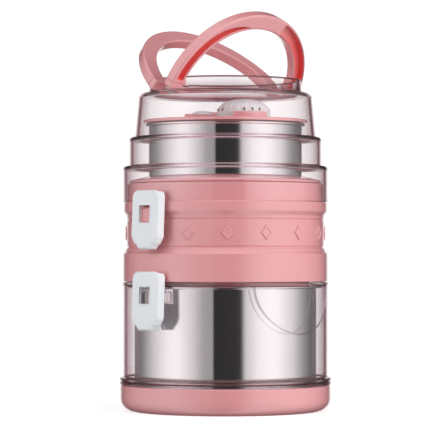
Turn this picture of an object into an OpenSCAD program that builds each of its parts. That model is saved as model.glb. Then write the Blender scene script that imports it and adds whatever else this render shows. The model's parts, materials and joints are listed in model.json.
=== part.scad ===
// Stacked tiffin carrier: a steel soup pot in a clear shell, a middle tier, a small top bowl,
// a stepped clear cover with two folding carry handles, and four snap latches.
// The latches are drawn a few degrees ajar, so that their windows just clear the catches.

/* [Base] */
// Outer radius of the base cup
base_r = 76; // [72:0.5:80]
// Height of the base cup's rim
base_h = 19; // [16:0.5:22]
// Rounding of the base cup's lower edge
base_round = 10.5; // [6:0.5:12]
// Wall of the base cup
base_wall = 2.8; // [2.4:0.1:3.2]

/* [Shell and pots] */
// Outer radius of the clear shell, the middle band and the cover's skirt
shell_r = 74; // [73.5:0.1:75]
// Wall of the clear parts
clear_wall = 2.2; // [1.8:0.1:2.4]
// Top of the lower clear shell
shell_top = 93.1; // [92:0.1:94]
// Outer radius of the two large steel vessels
pot_r = 66; // [64:0.5:67]
// Thickness of the steel sheet
steel = 1; // [0.8:0.1:1.2]

/* [Middle tier] */
// Top of the wide band
band_top = 113.2; // [112:0.1:115]
// Radius of the recessed frieze
frieze_r = 71.3; // [70.5:0.1:72]
// Bottom and top of the frieze
frieze_z = [117, 139.3]; // [116:0.1:141]
// Bottom and top of the flange that carries the cover
flange_z = [144.7, 150.2]; // [144:0.1:151]
// Top of the tier's neck
neck_top = 163.6; // [162:0.1:164]
// Width, height and relief of one diamond
diamond = [8.7, 10.6, 0.9]; // [0.5:0.1:12]
// Number of diamond places round the frieze
diamond_count = 16; // [12:4:20]

/* [Top bowl and lid] */
// Outer radius of the top bowl
bowl_r = 55.7; // [54:0.1:56]
// Top of the top bowl's rolled rim
bowl_top = 207; // [205:0.1:208]
// Outer radius of the top lid
lid_r = 59.5; // [58:0.1:60]
// Top face of the top lid
lid_top = 209.6; // [209:0.1:211]

/* [Vents] */
// Radius of the steam cap's base
steam_r = 19; // [16:0.5:20]
// Height of the steam cap over the lid
steam_h = 14.8; // [12:0.1:16]
// Place of the steam cap along Y
steam_y = -18; // [-20:0.5:-17]
// Number of flutes on the steam cap
flutes = 20; // [12:1:24]
// Radius of the vent valve's seat
vent_r = 10.6; // [9:0.1:11]
// Place of the vent valve along Y
vent_y = 24; // [22:0.5:26]

/* [Cover] */
// Top of the cover's skirt
skirt_top = 176.5; // [175:0.1:178]
// Radius and top of the second step
step_two = [69.5, 197.3]; // [68:0.1:198]
// Radius of the dome at its foot and at its shoulder
dome_r = [65.5, 62.2]; // [61:0.1:66]
// Height of the shoulder
shoulder_z = 229.4; // [228:0.1:230]
// Outer radius and top of the collar
collar = [55, 238.9]; // [54:0.1:239]

/* [Latches] */
// Width of a latch
latch_w = 27; // [25:0.5:29]
// Distance of the latch pivots from the vertical axis
pivot_x = 78.2; // [78:0.1:79]
// Heights of the lower and upper latch pivots
pivot_z = [97.6, 154.7]; // [97:0.1:156]
// Length of a latch below its pivot
latch_drop = 38.4; // [36:0.1:40]
// Angle at which the latches are drawn ajar
ajar = 2.6; // [2.6:0.1:5]

/* [Handles] */
// Half width and height of a handle's centreline over its centre
arch = [61.3, 57]; // [56:0.1:63]
// Distance of the arch's centre below the pivot
arch_drop = 5; // [4:0.1:6]
// Width across the arch and thickness of a handle
grip = [11.5, 8]; // [7:0.1:12]
// Distance of each pivot from the middle plane
hinge_y = 9.2; // [9:0.1:10]
// Height of the handle pivots
hinge_z = 235; // [234.5:0.1:236]
// Lean of the front and back handle from upright
lean = [30, 46]; // [0:1:60]

/* [Hidden] */
$fn = 96;
eps = 0.01;
gap = 0.3;              // clearance between parts that come apart
running = 0.06;         // radial clearance of a pin in its bore
press = 0.05;           // radial bite of a pin in its seat

foot_ring = [58, 52, 0.8];   // outer and inner radius and depth of the base's foot ring
seat_ring = [54, 50];   // radii of the ring that the pot stands on
shell_in = shell_r - clear_wall;
shell_foot = 14.5;      // lower edge of the clear shell, inside the base cup
flange_bottom = base_h + 0.2;
bead = 0.4;             // reach of the shell's bead past the base cup
plaque_size = [38, 34, 0.9];  // half width, drop and line width of the plaque outline
pot_bottom = 5.2;
steel_in = pot_r - steel;
pot_rim_z = 90.2;
rim_r = 70.6;
large_round = 8;        // foot rounding of the large and small vessels
small_round = 4;
roll_r = 1.1;           // roll of the top bowl's rim
tier_bottom = shell_top + gap;
tier_wall_in = 68.4;
floor_z = 97;
middle_lid_z = neck_top + 0.4;
crown_z = 168.6;
bowl_foot_z = 165.9;
lid_under = bowl_top + gap;
lid_wall = 2.4;
plug_r = 62.5;          // plugs that enter the large vessels: outside, neck and hollow
plug_neck = 61;
plug_in = 59.5;
plug_z = [86, 158];     // undersides of the tier's plug and the middle lid's plug
land = [3.4, 3];        // heights of their sealing lands
gasket_gap = [0.6, 0.2];      // space below and above a gasket on its land
small_plug_r = 51.8;    // plug that enters the top bowl, and its wall
small_plug_wall = 3;
steam_slot = [1.2, 5.6, 2];   // steam slots: width, lower edge over the cap's foot and height
spigot_r = 5;           // spigot that the steam cap turns on, and its height
spigot_h = 8;
splash = [1.4, 1.8, 5]; // splash wall: space to the steam cap, thickness and height
flap_x = vent_r + 2.2;  // vent flap's hinge line, and its height over the lid
flap_rise = 1.9;
flap_w = 8.6;           // width of the flap's arm, and radius of its pin
flap_pin_r = 0.8;
cheek = [5.4, 1.6, 1.7];      // hinge cheeks: middle along the pin, thickness and radius
seat_h = 2.6;           // height of the vent seat, thickness of its floor and radius of its hole
seat_floor = 1.2;
vent_hole = 2;
knuckle_r = 3.2;
plate_in = 1.2;         // inner face of the latch plate, from the pivot
latch_back = 3.4;       // depth of a latch's walls behind the pivot line
latch_wall = 1.8;
tongue_h = 4;           // thumb tongue below the latch's shoulders, and its width
tongue_w = 15.6;
pin_r = 1;
ear_r = 2.1;
ear_y = 10;             // middle of each ear along the pin
ear_w = 2.5;
window = [10.4, 12.2, 7.6];  // width, height, drop of its top edge below the pivot
catch_face = 1.75;      // catch's outer face, from the pivot line
catch_w = 9.6;
boss_r = 3.6;
pin_half = 12.7;        // half length of a latch pin
seat_x = 52.9;          // flat pivot seats on the collar
handle_pin_r = 1.6;
handle_pin_x = 57;      // middle of a handle pin, and its length
handle_pin_l = 12.4;
channel_low = 8.5;      // angles between which the handles are channelled
channel_high = 68;
point_high = 80;
channel_lip = [1.5, 1.8];     // walls of the wide channel, inner and outer
point_lip = [2.6, 2.8];       // walls of the pointed channel, inner and outer
web = 2.6;              // handle thickness left behind the channels
foot_drop = 4.5;        // reach of the handles' feet below the pivot

// points along an arc, for profiles
function arc(c, r, a, b, n = 6) =
    [for (i = [0:n]) c + r * [cos(a + (b - a) * i / n), sin(a + (b - a) * i / n)]];

module turned(points) { rotate_extrude() polygon(points); }

module ring(r_out, r_in, z_low, z_high) {
    translate([0, 0, z_low]) difference() {
        cylinder(r = r_out, h = z_high - z_low);
        translate([0, 0, -1]) cylinder(r = r_in, h = z_high - z_low + 2);
    }
}

// pressed steel vessel: rounded foot, straight wall, lip turned outward
module vessel(r, foot_z, rim_z, lip_r, foot_round) {
    inner_round = foot_round - steel;
    turned(concat(
        [[0, foot_z]],
        arc([r - foot_round, foot_z + foot_round], foot_round, -90, 0),
        [[r, rim_z - steel], [lip_r, rim_z - steel], [lip_r, rim_z], [r - steel, rim_z]],
        arc([r - foot_round, foot_z + foot_round], inner_round, 0, -90),
        [[0, foot_z + steel]]));
}

// bar along Y through the latch pivots of one side pair
module pin_along_y(z, r, half_length) {
    for (side = [-1, 1])
        translate([side * pivot_x, 0, z]) rotate([90, 0, 0])
            cylinder(r = r, h = 2 * half_length, center = true);
}

// pairs of ears that hold the latch pins, rooted in a wall at root_x
module ears(z, root_x) {
    for (side = [0, 180], end = [-1, 1]) rotate([0, 0, side])
        translate([0, end * ear_y, z]) rotate([90, 0, 0]) {
            translate([pivot_x, 0, 0]) cylinder(r = ear_r, h = ear_w, center = true);
            translate([root_x, -ear_r * 0.7, -ear_w / 2]) cube([pivot_x - root_x, ear_r * 1.4, ear_w]);
        }
}

// catch block: flat underside that the latch window hooks, sloping top
module catches(z, root_x, height, groove) {
    face_x = pivot_x + catch_face;
    low = z - window[2] - window[1] + 0.6;
    for (side = [0, 180]) rotate([0, 0, side]) difference() {
        rotate([90, 0, 0]) linear_extrude(catch_w, center = true)
            polygon([[root_x, low], [face_x, low], [face_x, low + height - 1.6],
                [face_x - 1.2, low + height], [root_x, low + height]]);
        if (groove)
            translate([face_x - 1, -0.7, low - 1]) cube([2, 1.4, height + 2]);
    }
}

/* ---- pot body ---- */

module base_cup() {
    color("#e0787c") difference() {
        turned(concat(
            [[0, 0]],
            arc([base_r - base_round, base_round], base_round, -90, 0, 10),
            [[base_r, base_h - 0.8], [base_r - 0.8, base_h], [base_r - base_wall, base_h],
             [base_r - base_wall, base_round + 1]],
            arc([base_r - base_round, base_round + 1], base_round - base_wall, 0, -90),
            [[0, base_wall + 1]]));
        // shallow foot ring under the floor
        ring(foot_ring[0], foot_ring[1], -1, foot_ring[2]);
    }
    // seat ring under the pot
    color("#e0787c") ring(seat_ring[0], seat_ring[1], base_wall + 1 - eps, pot_bottom);
}

module lower_shell() {
    color([0.93, 0.86, 0.87, 0.45]) {
        turned([[shell_in, shell_foot], [base_r - base_wall - gap, shell_foot],
            [base_r - base_wall - gap, flange_bottom], [base_r + bead, flange_bottom],
            [base_r + bead, flange_bottom + 2], [base_r - gap, flange_bottom + 2.4],
            [base_r - gap, flange_bottom + 2.9], [base_r + bead, flange_bottom + 3.3],
            [base_r + bead, flange_bottom + 4.8], [shell_r, flange_bottom + 5.6],
            [shell_r, shell_top - 2.8], [shell_r + 0.5, shell_top - 2.2],
            [shell_r + 0.5, shell_top - 0.4], [shell_r + 0.1, shell_top],
            [shell_in, shell_top]]);
        // half-ellipse plaque outline, front and centre
        intersection() {
            ring(shell_r + 0.35, shell_r - 0.5, 56, shell_top - 2.4);
            rotate([90, 0, 0]) linear_extrude(shell_r + 2) difference() {
                plaque(0);
                plaque(plaque_size[2]);
            }
        }
        catches(pivot_z[0], shell_in + 0.6, 8.4, true);
    }
}

// half-ellipse hanging from the shell's top, drawn inset by the given width
module plaque(inset) {
    half_w = plaque_size[0] - inset;
    drop = plaque_size[1] - inset;
    top = shell_top - 2.6;
    polygon([for (i = [0:32]) let (t = 180 + 180 * i / 32) [half_w * cos(t), top + drop * sin(t)]]);
}

module lower_pot() { color("silver") vessel(pot_r, pot_bottom, pot_rim_z, rim_r, large_round); }

/* ---- middle tier ---- */

module middle_jacket() {
    neck_r = shell_in - 0.8;
    color("#e0787c") {
        difference() {
            turned(concat(
                [[0, plug_z[0]], [plug_r, plug_z[0]], [plug_r, plug_z[0] + land[0]],
                 [plug_neck, plug_z[0] + land[0] + 1], [plug_neck, tier_bottom],
                 [shell_r - 0.5, tier_bottom], [shell_r, tier_bottom + 0.5],
                 [shell_r, band_top - 0.8], [shell_r - 0.6, band_top],
                 [frieze_r + 1.2, frieze_z[0] - 2.2], [frieze_r + 0.5, frieze_z[0] - 1],
                 [frieze_r + 0.5, frieze_z[0]], [frieze_r, frieze_z[0]],
                 [frieze_r, frieze_z[0] + 0.8], [frieze_r - 0.6, frieze_z[0] + 0.8],
                 [frieze_r - 0.6, frieze_z[0] + 1.6], [frieze_r, frieze_z[0] + 1.6],
                 [frieze_r, frieze_z[1] - 1.6], [frieze_r - 0.6, frieze_z[1] - 1.6],
                 [frieze_r - 0.6, frieze_z[1] - 0.8], [frieze_r, frieze_z[1] - 0.8],
                 [frieze_r, frieze_z[1]]],
                arc([shell_r - 0.5, frieze_z[1]], shell_r - 0.5 - frieze_r, 180, 110, 5),
                [[shell_r - 0.5, flange_z[0]], [shell_r - 0.5, flange_z[1]],
                 [neck_r, flange_z[1]], [neck_r, neck_top - 0.5], [neck_r - 0.5, neck_top],
                 [tier_wall_in, neck_top], [tier_wall_in, floor_z],
                 [0, floor_z]]));
            // hollow under the floor, inside the plug
            translate([0, 0, plug_z[0] - 1]) cylinder(r = plug_in, h = floor_z - 3 - plug_z[0] + 1);
        }
        for (i = [0:diamond_count - 1])
            if (i % (diamond_count / 2) != 0)
                rotate([0, 0, i * 360 / diamond_count]) raised_diamond();
        ears(pivot_z[0], shell_r - 1.5);
        catches(pivot_z[1], frieze_r - 1, 10.4, false);
    }
}

// one diamond standing proud of the frieze, on the +X side
module raised_diamond() {
    mid_z = (frieze_z[0] + frieze_z[1]) / 2;
    translate([frieze_r - 1, 0, mid_z]) rotate([90, 0, 90]) linear_extrude(1 + diamond[2])
        polygon([[-diamond[0] / 2, 0], [0, -diamond[1] / 2], [diamond[0] / 2, 0], [0, diamond[1] / 2]]);
}

module middle_bowl() {
    color("silver") vessel(pot_r, floor_z + 1, neck_top - 0.4, tier_wall_in - gap, large_round);
}

// seal round a plug's land
module gasket(r_out, r_in, land_low, land_high) {
    color("white") ring(r_out - gap, r_in, land_low + gasket_gap[0], land_high - gasket_gap[1]);
}

module lower_gasket() { gasket(steel_in, plug_r, plug_z[0], plug_z[0] + land[0]); }

module lower_latch_pins() { color("silver") pin_along_y(pivot_z[0], pin_r, pin_half); }

/* ---- lids and top bowl ---- */

module middle_lid() {
    seat_z = bowl_foot_z - gap;
    color("#e0787c") turned([[plug_in, plug_z[1]], [plug_r, plug_z[1]], [plug_r, plug_z[1] + land[1]],
        [plug_neck, plug_z[1] + land[1] + 1], [plug_neck, middle_lid_z],
        [69.8, middle_lid_z], [69.8, middle_lid_z + 1.4], [68.6, middle_lid_z + 2.4],
        [58.4, crown_z], [56.8, crown_z], [56.2, crown_z - 0.6],
        [bowl_r + 0.4, seat_z], [0, seat_z], [0, seat_z - lid_wall], [plug_in, seat_z - lid_wall]]);
}

module middle_lid_gasket() { gasket(steel_in, plug_r, plug_z[1], plug_z[1] + land[1]); }

module top_bowl() {
    color("silver") {
        vessel(bowl_r, bowl_foot_z, bowl_top - 0.6, bowl_r + 1.4, small_round);
        // rolled rim
        translate([0, 0, bowl_top - roll_r]) rotate_extrude()
            translate([bowl_r + 1, 0]) circle(r = roll_r, $fn = 24);
    }
}

module top_lid() {
    color("#e0787c") {
        turned([[small_plug_r - small_plug_wall, lid_under - 4.6], [small_plug_r, lid_under - 4.6],
            [small_plug_r, lid_under - 1.6], [small_plug_r - 1.5, lid_under - 0.8],
            [small_plug_r - 1.5, lid_under], [lid_r, lid_under], [lid_r, lid_top - 0.8],
            [lid_r - 0.8, lid_top], [0, lid_top], [0, lid_under],
            [small_plug_r - small_plug_wall, lid_under]]);
        // splash wall in front of the steam cap
        translate([0, steam_y, lid_top - eps]) rotate([0, 0, 204]) rotate_extrude(angle = 68)
            translate([steam_r + splash[0], 0]) square([splash[1], splash[2]]);
        // spigot that the steam cap turns on
        translate([0, steam_y, lid_top - eps]) cylinder(r = spigot_r, h = spigot_h);
        // hinge cheeks of the vent flap
        for (end = [-1, 1]) translate([flap_x, vent_y + end * cheek[0], lid_top]) rotate([90, 0, 0])
            difference() {
                union() {
                    translate([0, flap_rise, 0]) cylinder(r = cheek[2], h = cheek[1], center = true);
                    translate([-cheek[2], -eps, -cheek[1] / 2]) cube([2 * cheek[2], flap_rise, cheek[1]]);
                }
                translate([0, flap_rise, 0]) cylinder(r = flap_pin_r + running, h = 3, center = true);
            }
    }
}

module top_lid_gasket() {
    color("white") ring(bowl_r - steel - gap, small_plug_r, lid_under - 4.2, lid_under - 1.8);
}

module vent_seat() {
    color([0.85, 0.84, 0.84]) translate([0, vent_y, lid_top]) difference() {
        cylinder(r = vent_r, h = seat_h);
        translate([0, 0, seat_floor]) cylinder(r = vent_r - 2, h = seat_h);
        translate([0, 0, -1]) cylinder(r = vent_hole, h = 2 * seat_h);
    }
}

module steam_cap() {
    dome_foot = 5;
    color([0.88, 0.86, 0.87, 0.8]) translate([0, steam_y, lid_top + 0.2]) difference() {
        turned(concat(
            [[0, 0], [steam_r, 0], [steam_r, dome_foot]],
            [for (i = [1:10]) let (t = 90 * i / 10)
                [steam_r * pow(cos(t), 0.8), dome_foot + (steam_h - 0.2 - dome_foot) * sin(t)]]));
        // bore that turns on the lid's spigot, and the hollow round it
        translate([0, 0, -1]) cylinder(r = spigot_r + running, h = spigot_h + 1.2);
        ring(steam_r - 2.4, 8, -1, dome_foot - 0.5);
        for (i = [0:flutes - 1]) rotate([0, 0, i * 360 / flutes]) {
            translate([steam_r + 0.7, 0, -1]) cylinder(r = 1.4, h = steam_h, $fn = 24);
            // steam slots between the flutes, in groups of three
            if (i % 5 > 1) rotate([0, 0, 180 / flutes])
                translate([steam_r - 4, -steam_slot[0] / 2, steam_slot[1]])
                    cube([5, steam_slot[0], steam_slot[2]]);
        }
    }
}

// lever cap over the vent seat, hinged on its +X side, with a thumb tab on the -X side
module vent_flap() {
    plate_z = lid_top + seat_h + gap;
    plate_h = 2.2;
    dome = [8, 3];
    dome_round = (dome[0] * dome[0] + dome[1] * dome[1]) / (2 * dome[1]);
    dome_z = plate_z + plate_h;
    color("#e0787c") translate([0, vent_y, 0]) {
        translate([0, 0, plate_z]) cylinder(r = vent_r - 0.4, h = plate_h);
        translate([flap_x - 6, -flap_w / 2, plate_z]) cube([6, flap_w, 1.6]);
        translate([flap_x, 0, lid_top + flap_rise]) rotate([90, 0, 0]) {
            cylinder(r = 1.5, h = flap_w, center = true);
            cylinder(r = flap_pin_r, h = 2 * (cheek[0] + cheek[1] / 2), center = true);
        }
        translate([flap_x - 1.5, -flap_w / 2, lid_top + flap_rise]) cube([1.5, flap_w, 2]);
        translate([-vent_r + 1, 0, plate_z]) linear_extrude(2)
            polygon([[0, -6.5], [-7, -1.6], [-7, 1.6], [0, 6.5]]);
        // domed top
        turned(concat([[0, dome_z - 0.5], [dome[0], dome_z - 0.5]],
            arc([0, dome_z + dome[1] - dome_round], dome_round, 90 - asin(dome[0] / dome_round), 90)));
        // plug that closes the seat
        translate([0, 0, plate_z - 1.2]) cylinder(r = 4, h = 1.4);
    }
}

/* ---- cover ---- */

module stepped_cover() {
    collar_in = collar[0] - 2.7;
    shoulder_round = 3.6;
    color([0.93, 0.86, 0.87, 0.45]) {
        difference() {
            turned(concat(
                [[shell_in, flange_z[1] + gap], [shell_r, flange_z[1] + gap],
                 [shell_r, skirt_top - 1.4], [shell_r - 1.4, skirt_top], [step_two[0], skirt_top],
                 [step_two[0], step_two[1] - 1.4], [step_two[0] - 1.4, step_two[1]],
                 [dome_r[0], step_two[1]]],
                arc([dome_r[1] - shoulder_round, shoulder_z - shoulder_round], shoulder_round, 6, 90),
                [[collar[0], shoulder_z], [collar[0], collar[1] - 0.6], [collar[0] - 0.6, collar[1]],
                 [collar_in, collar[1]], [collar_in, shoulder_z - clear_wall]],
                arc([dome_r[1] - shoulder_round, shoulder_z - shoulder_round],
                    shoulder_round - clear_wall, 90, 6),
                [[dome_r[0] - clear_wall, step_two[1] - clear_wall],
                 [step_two[0] - clear_wall, step_two[1] - clear_wall],
                 [step_two[0] - clear_wall, skirt_top - clear_wall],
                 [shell_in, skirt_top - clear_wall]]));
            // flat seats for the handle bosses
            for (side = [-1, 1])
                translate([side * (seat_x + 5), 0, shoulder_z + 5 + eps])
                    cube([10, 34, 10], center = true);
            // seats of the handle pins
            for (y = [-hinge_y, hinge_y])
                translate([0, y, hinge_z]) rotate([0, 90, 0])
                    cylinder(r = handle_pin_r - press, h = 2 * collar[0], center = true);
        }
        difference() {
            ears(pivot_z[1], shell_in + 0.5);
            pin_along_y(pivot_z[1], pin_r - press, 20);
        }
    }
}

module upper_latch_pins() { color("silver") pin_along_y(pivot_z[1], pin_r, pin_half); }

// short pins from inside the collar wall into each handle foot
module handle_pins() {
    color("silver") for (side = [-1, 1], y = [-hinge_y, hinge_y])
        translate([side * handle_pin_x, y, hinge_z]) rotate([0, 90, 0])
            cylinder(r = handle_pin_r, h = handle_pin_l, center = true);
}

/* ---- latches ---- */

module rounded(half_w, low, high, r) {
    translate([-half_w + r, low]) square([2 * (half_w - r), high - low]);
    translate([-half_w, low + r]) square([2 * half_w, high - low - 2 * r]);
    for (y = [-1, 1], z = [low + r, high - r]) translate([y * (half_w - r), z]) circle(r = r);
}

// outline of a latch with its thumb tongue, moved in by an inset
module latch_outline(inset, top) {
    rounded(latch_w / 2 - inset, -latch_drop + tongue_h + inset, top, 5 - inset);
    rounded(tongue_w / 2 - inset, -latch_drop + inset, -latch_drop + 3 * tongue_h, 3.4 - inset);
}

// snap latch at its own pivot: outward is +X, the pin lies along Y, the plate hangs down
module latch_at_pivot() {
    half_w = latch_w / 2;
    difference() {
        intersection() {
            union() {
                translate([plate_in, -half_w, -latch_drop]) cube([knuckle_r - plate_in, latch_w, latch_drop]);
                rotate([90, 0, 0]) cylinder(r = knuckle_r, h = latch_w, center = true);
                // side walls that run round the tongue
                difference() {
                    translate([-latch_back, -half_w, -latch_drop])
                        cube([latch_back + plate_in + eps, latch_w, latch_drop]);
                    translate([-latch_back - 1, 0, 0]) rotate([90, 0, 90])
                        linear_extrude(latch_back + 1 + plate_in) latch_outline(latch_wall, 2 * knuckle_r);
                }
            }
            translate([-10, 0, 0]) rotate([90, 0, 90]) linear_extrude(20) latch_outline(0, knuckle_r);
        }
        // way out for the catch below, and the window over it
        translate([-latch_back - 1, -catch_w / 2 - 0.4, -latch_drop - 1])
            cube([latch_back + 1 + plate_in, catch_w + 0.8, 2 * tongue_h]);
        translate([-5, -window[0] / 2, -window[2] - window[1]]) cube([10, window[0], window[1]]);
        // pockets for the ears, open upward and inward
        for (end = [-1, 1]) translate([0, end * ear_y, 0]) rotate([90, 0, 0]) {
            cylinder(r = ear_r + 0.35, h = ear_w + 0.7, center = true);
            translate([-8 + 1.9, -1.9, -(ear_w + 0.7) / 2]) cube([8, 8, ear_w + 0.7]);
        }
        rotate([90, 0, 0]) cylinder(r = pin_r + running, h = 25.8, center = true);
    }
}

module placed_latch(side, z) {
    color("white") rotate([0, 0, side]) translate([pivot_x, 0, z]) rotate([0, -ajar, 0]) latch_at_pivot();
}

module lower_latch_left() { placed_latch(180, pivot_z[0]); }
module lower_latch_right() { placed_latch(0, pivot_z[0]); }
module upper_latch_left() { placed_latch(180, pivot_z[1]); }
module upper_latch_right() { placed_latch(0, pivot_z[1]); }

/* ---- handles ---- */

// point of the arch at an angle, offset outward across the grip
function arch_point(t, off) = [(arch[0] + off) * cos(t), (arch[1] + off) * sin(t) - arch_drop];

module arch_band(off_in, off_out, t_low, t_high, n) {
    polygon(concat(
        [for (i = [0:n]) arch_point(t_low + (t_high - t_low) * i / n, off_out)],
        [for (i = [n:-1:0]) arch_point(t_low + (t_high - t_low) * i / n, off_in)]));
}

// band that narrows onto its inner edge
module pointed_band(off_in, off_out, t_low, t_high, n) {
    polygon(concat(
        [for (i = [0:n]) arch_point(t_low + (t_high - t_low) * i / n,
            off_in + (off_out - off_in) * (1 - pow(i / n, 3)))],
        [for (i = [n - 1:-1:0]) arch_point(t_low + (t_high - t_low) * i / n, off_in)]));
}

// handle standing upright over its pivot line, outward face towards -Y
module handle_upright() {
    half = grip[0] / 2;
    start = asin(arch_drop / arch[1]);
    foot_x = arch[0] * cos(start);
    difference() {
        union() {
            rotate([90, 0, 0]) linear_extrude(grip[1], center = true)
                arch_band(-half, half, start, 180 - start, 64);
            for (side = [-1, 1]) translate([side * foot_x, 0, 0]) {
                rotate([90, 0, 90]) linear_extrude(grip[0], center = true)
                    rounded(grip[1] / 2, -foot_drop, foot_drop, 1.5);
                rotate([0, 90, 0]) translate([0, 0, -side * (half + 1)])
                    cylinder(r = boss_r, h = 2.4, center = true);
            }
        }
        // channels in the outward face: a wide one with a square end, and one that narrows to a point
        translate([0, -grip[1] / 2 - 1, 0]) rotate([-90, 0, 0]) mirror([0, 1, 0])
            linear_extrude(1 + grip[1] - web) {
                arch_band(-half + channel_lip[0], half - channel_lip[1], channel_low, channel_high, 24);
                pointed_band(-half + point_lip[0], half - point_lip[1],
                    180 - channel_low, 180 - point_high, 28);
            }
        rotate([0, 90, 0]) cylinder(r = handle_pin_r + running, h = 2 * foot_x + 5, center = true);
    }
}

module handle_front() {
    color("#e0787c") translate([0, -hinge_y, hinge_z]) rotate([lean[0], 0, 0]) handle_upright();
}

module handle_back() {
    color("#e0787c") translate([0, hinge_y, hinge_z]) rotate([-lean[1], 0, 0])
        rotate([0, 0, 180]) handle_upright();
}

base_cup();
lower_shell();
lower_pot();
middle_jacket();
middle_bowl();
lower_gasket();
lower_latch_pins();
lower_latch_left();
lower_latch_right();
middle_lid();
middle_lid_gasket();
top_bowl();
top_lid();
top_lid_gasket();
vent_seat();
steam_cap();
vent_flap();
stepped_cover();
upper_latch_pins();
handle_pins();
upper_latch_left();
upper_latch_right();
handle_front();
handle_back();
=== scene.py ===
import json
import math

import bmesh
import bpy
from mathutils import Matrix, Vector


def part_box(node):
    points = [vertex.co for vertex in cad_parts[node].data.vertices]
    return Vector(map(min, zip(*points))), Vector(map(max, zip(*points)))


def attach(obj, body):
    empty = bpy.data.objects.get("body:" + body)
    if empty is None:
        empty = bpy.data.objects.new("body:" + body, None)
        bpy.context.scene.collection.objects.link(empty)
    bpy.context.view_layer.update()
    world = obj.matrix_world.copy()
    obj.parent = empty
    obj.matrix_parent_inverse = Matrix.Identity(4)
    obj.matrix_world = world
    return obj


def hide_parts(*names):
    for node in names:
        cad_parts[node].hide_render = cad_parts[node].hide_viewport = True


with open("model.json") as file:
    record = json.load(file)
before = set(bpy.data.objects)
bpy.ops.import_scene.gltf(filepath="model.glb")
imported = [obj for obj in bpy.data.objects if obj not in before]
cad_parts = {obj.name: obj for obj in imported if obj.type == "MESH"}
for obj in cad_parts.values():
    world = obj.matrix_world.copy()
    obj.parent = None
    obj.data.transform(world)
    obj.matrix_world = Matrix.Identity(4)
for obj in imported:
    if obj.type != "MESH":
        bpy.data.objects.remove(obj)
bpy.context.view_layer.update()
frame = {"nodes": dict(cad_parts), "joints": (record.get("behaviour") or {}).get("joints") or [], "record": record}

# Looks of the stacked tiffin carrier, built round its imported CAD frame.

MM = 0.001
SEGMENTS = 224           # round the axis, on turned pieces


# ---------------------------------------------------------------- sizes from the frame

def reach(node):
    """A turned node's outer radius, bottom and top, in mm."""
    low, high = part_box(node)
    return high.y / MM, low.z / MM, high.z / MM


BASE_R, _, BASE_TOP = reach("base_cup")
_, _, SHELL_TOP = reach("lower_shell")
BAND_R, _, NECK_TOP = reach("middle_jacket")
POT_RIM_R, POT_FOOT, POT_RIM = reach("lower_pot")
_, BOWL_FOOT, BOWL_TOP = reach("top_bowl")
LID_R, _, _ = reach("top_lid")
LID_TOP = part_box("vent_seat")[0].z / MM
_, SKIRT_LOW, COLLAR_TOP = reach("stepped_cover")
STEEL = 1.0
CLEAR_WALL = 2.2
POT_R = 66.0
BOWL_R = 55.7
COLLAR_R = 55.0
SHELL_IN = BAND_R - CLEAR_WALL
SHOULDER_Z = COLLAR_TOP - 9.5
SKIRT_TOP = SKIRT_LOW + 26
STEP_R, STEP_TOP = BAND_R - 4.5, SKIRT_LOW + 46.8

HINGES = {joint["name"]: joint for joint in frame["joints"]}
SIDES = ((-1, "left"), (1, "right"))      # along X


def hinge_point(name):
    """A hinge's place in mm."""
    return Vector(HINGES[name]["pos_m"]) / MM


# ---------------------------------------------------------------- mesh helpers

def arc_points(centre, radius, start, end, count):
    """Points on an arc, angles in radians."""
    return [(centre[0] + radius * math.cos(start + (end - start) * i / count),
             centre[1] + radius * math.sin(start + (end - start) * i / count)) for i in range(count + 1)]


def filleted(corners, steps=6):
    """A closed outline with each corner (a, b, radius) rounded."""
    outline = []
    count = len(corners)
    for i, (a, b, radius) in enumerate(corners):
        here = Vector((a, b))
        before = Vector(corners[i - 1][:2]) - here
        after = Vector(corners[(i + 1) % count][:2]) - here
        if radius <= 0 or before.length < 1e-6 or after.length < 1e-6:
            outline.append((a, b))
            continue
        half = before.angle(after) / 2
        if half > math.pi / 2 - 0.01:
            outline.append((a, b))
            continue
        cut = min(radius / math.tan(half), 0.49 * before.length, 0.49 * after.length)
        rounding = cut * math.tan(half)
        middle = (before.normalized() + after.normalized()).normalized()
        centre = here + middle * (rounding / math.sin(half))
        first = here + before.normalized() * cut - centre
        turn = first.angle_signed(here + after.normalized() * cut - centre)
        fine = max(steps, int(rounding * 1.6))
        for k in range(fine + 1):
            spin = Matrix.Rotation(-turn * k / fine, 2)
            point = centre + spin @ first
            outline.append((point.x, point.y))
    return outline


def new_object(name, verts, faces, smooth=True):
    """A mesh object from points in mm."""
    mesh = bpy.data.meshes.new(name)
    mesh.from_pydata([Vector(v) * MM for v in verts], [], faces)
    mesh.validate()
    obj = bpy.data.objects.new(name, mesh)
    bpy.context.scene.collection.objects.link(obj)
    tidy_mesh(obj, smooth)
    return obj


def tidy_mesh(obj, smooth=True):
    """Welds double points, makes the faces point outward and shades them smooth."""
    bm = bmesh.new()
    bm.from_mesh(obj.data)
    bmesh.ops.remove_doubles(bm, verts=bm.verts, dist=1e-6)
    bmesh.ops.dissolve_degenerate(bm, edges=bm.edges, dist=1e-7)
    bmesh.ops.recalc_face_normals(bm, faces=bm.faces)
    for face in bm.faces:
        face.smooth = smooth
    bm.to_mesh(obj.data)
    bm.free()


def skin(loops, count, first=0):
    """Faces between loops of points; each loop has count points, and first is the first point's number."""
    faces = []
    for k in range(loops - 1):
        here = first + k * count
        for i in range(count):
            j = (i + 1) % count
            faces.append((here + i, here + j, here + count + j, here + count + i))
    return faces


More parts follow.
